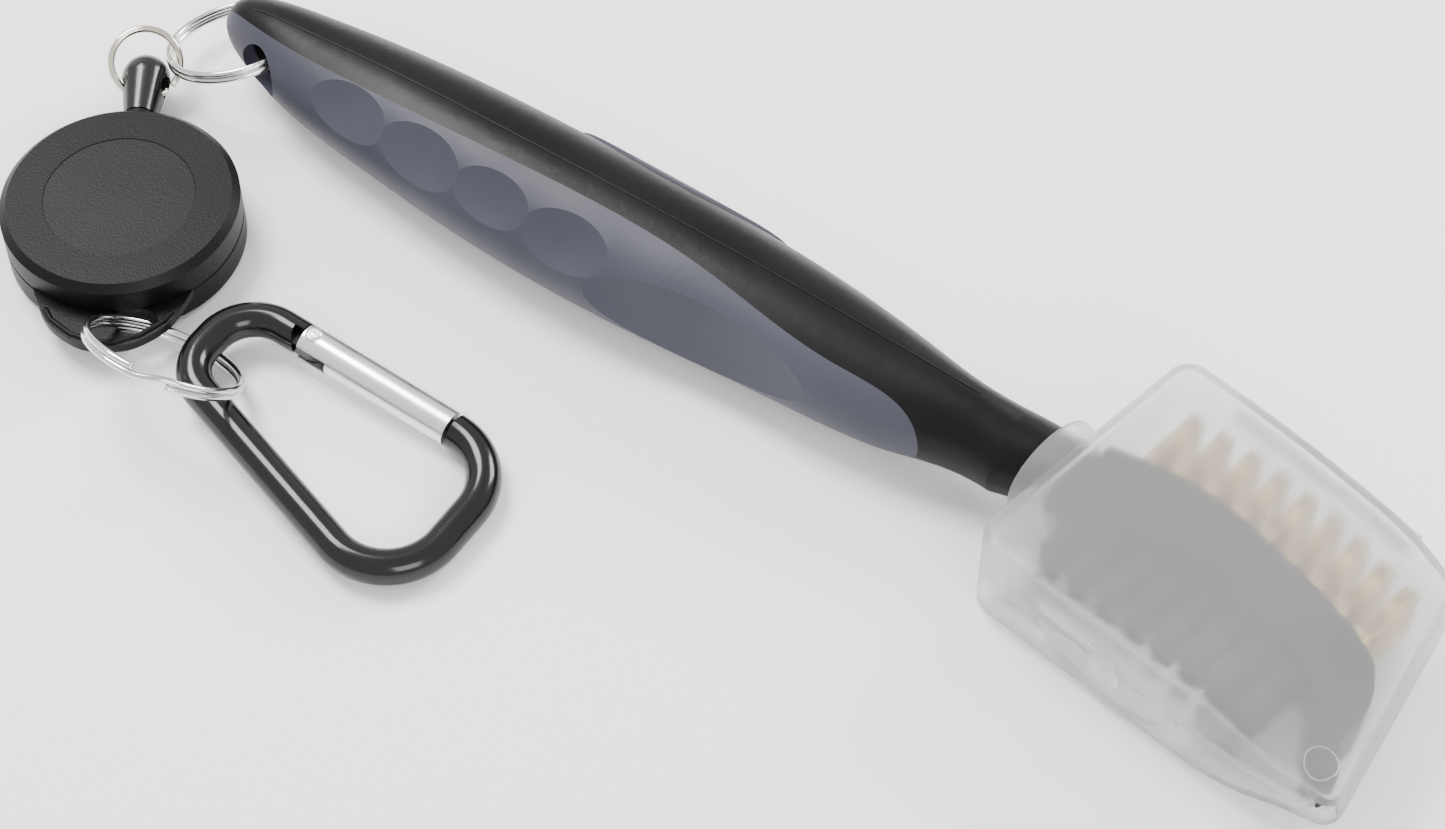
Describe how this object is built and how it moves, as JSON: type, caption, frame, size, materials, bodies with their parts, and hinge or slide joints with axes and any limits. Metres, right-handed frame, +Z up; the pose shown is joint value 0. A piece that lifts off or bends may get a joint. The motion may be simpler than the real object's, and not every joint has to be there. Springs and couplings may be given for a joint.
{
  "type": "club groove brush",
  "caption": "Hand brush for golf club grooves: grip handle, angled head with two bristle sides under a clamshell cover, and a cord reel with split rings and a carabiner.",
  "frame": {"origin": "on the flat underside of the brush head's cover, where the object lies on its surface", "axes": "+X along the handle towards the head, +Y away from the reel, towards the cover's hinge side, +Z up"},
  "size_m": [0.1973, 0.0824, 0.0176],
  "materials": {
    "core_black": "satin black moulded plastic",
    "grip_grey": "satin soft-touch rubber, fine grain",
    "cover_frost": "frosted translucent white",
    "nylon_black": "black nylon filament",
    "brass_wire": "fine brass wire",
    "staple_steel": "plain wire staple",
    "pin_steel": "plain steel pin",
    "ring_nickel": "bright nickel",
    "link_nickel": "bright nickel, warm tint",
    "cap_black": "glossy black",
    "cord_black": "braided nylon cord",
    "case_black": "matt black, fine texture",
    "disc_black": "matt black, fine texture",
    "spool_plastic": "natural acetal",
    "spring_steel": "spring strip",
    "clip_black": "gloss black anodised",
    "gate_aluminium": "bright satin"
  },
  "bodies": {
    "brush": {"handle_core": "core_black", "finger_grip": "grip_grey", "thumb_pad": "grip_grey", "nylon_bristles": "nylon_black", "brass_bristles": "brass_wire", "tuft_anchors": "staple_steel", "cover_lower": "cover_frost", "cover_hinge_pin": "pin_steel"},
    "lid": {"cover_upper": "cover_frost"},
    "handle_ring": {"handle_split_ring": "ring_nickel"},
    "link": {"link_ring": "link_nickel"},
    "cap": {"cord_end_cap": "cap_black"},
    "reel": {"reel_case_upper": "case_black", "reel_case_lower": "case_black", "reel_face_disc": "disc_black", "reel_axle": "pin_steel", "cord_tail": "cord_black"},
    "spool": {"reel_spool": "spool_plastic", "wound_cord": "cord_black", "reel_spring": "spring_steel"},
    "lug_ring": {"lug_split_ring": "ring_nickel"},
    "carabiner": {"carabiner_body": "clip_black", "gate_rivet": "gate_aluminium"},
    "gate": {"carabiner_gate": "gate_aluminium", "gate_spring": "spring_steel"}
  },
  "joints": [
    {"name": "lid_hinge", "type": "hinge", "parent": "brush", "child": "lid", "pos_m": [0.00556, 0.02148, 0.0088], "axis": [-0.9781, 0.2079, 0], "range_deg": [0, 170]},
    {"name": "handle_ring_swing", "type": "hinge", "parent": "brush", "child": "handle_ring", "pos_m": [-0.1471, 0.0037, 0.0092], "axis": [0, 1, 0], "range_deg": [-20, 20]},
    {"name": "link_swing", "type": "hinge", "parent": "handle_ring", "child": "link", "pos_m": [-0.16049, -0.00472, 0.0067], "axis": [0.7014, -0.6366, 0.3206], "range_deg": [-15, 15]},
    {"name": "cap_swivel", "type": "hinge", "parent": "link", "child": "cap", "pos_m": [-0.16106, -0.00972, 0.0048], "axis": [0.8325, 0.554, 0], "range_deg": [-15, 15]},
    {"name": "reel_pull", "type": "slide", "parent": "cap", "child": "reel", "axis": [0.554, -0.8325, 0], "range_m": [0, 0.6], "stiffness_N_per_m": 1, "springref_m": -0.5, "deforming": ["cord_tail"]},
    {"name": "spool_spin", "type": "hinge", "parent": "reel", "child": "spool", "pos_m": [-0.1481, -0.0292, 0.0048], "axis": [0, 0, 1], "range_deg": [0, 3840]},
    {"name": "lug_ring_swing", "type": "hinge", "parent": "reel", "child": "lug_ring", "pos_m": [-0.13556, -0.04188, 0.00453], "axis": [-0.5101, -0.6245, 0.5914], "range_deg": [-15, 15]},
    {"name": "carabiner_swing", "type": "hinge", "parent": "lug_ring", "child": "carabiner", "pos_m": [-0.12042, -0.03812, 0.00104], "axis": [0.502, -0.1377, 0.8538], "range_deg": [-30, 30]},
    {"name": "gate_pivot", "type": "hinge", "parent": "carabiner", "child": "gate", "pos_m": [-0.11404, -0.03105, 0.00404], "axis": [-0.0499, 0, -0.9988], "range_deg": [0, 24], "stiffness_Nm_per_rad": 0.01, "springref_deg": -34.38}
  ],
  "couplings": [
    {"joint": "spool_spin", "follows": "reel_pull", "rad_per_m": 110.5}
  ]
}
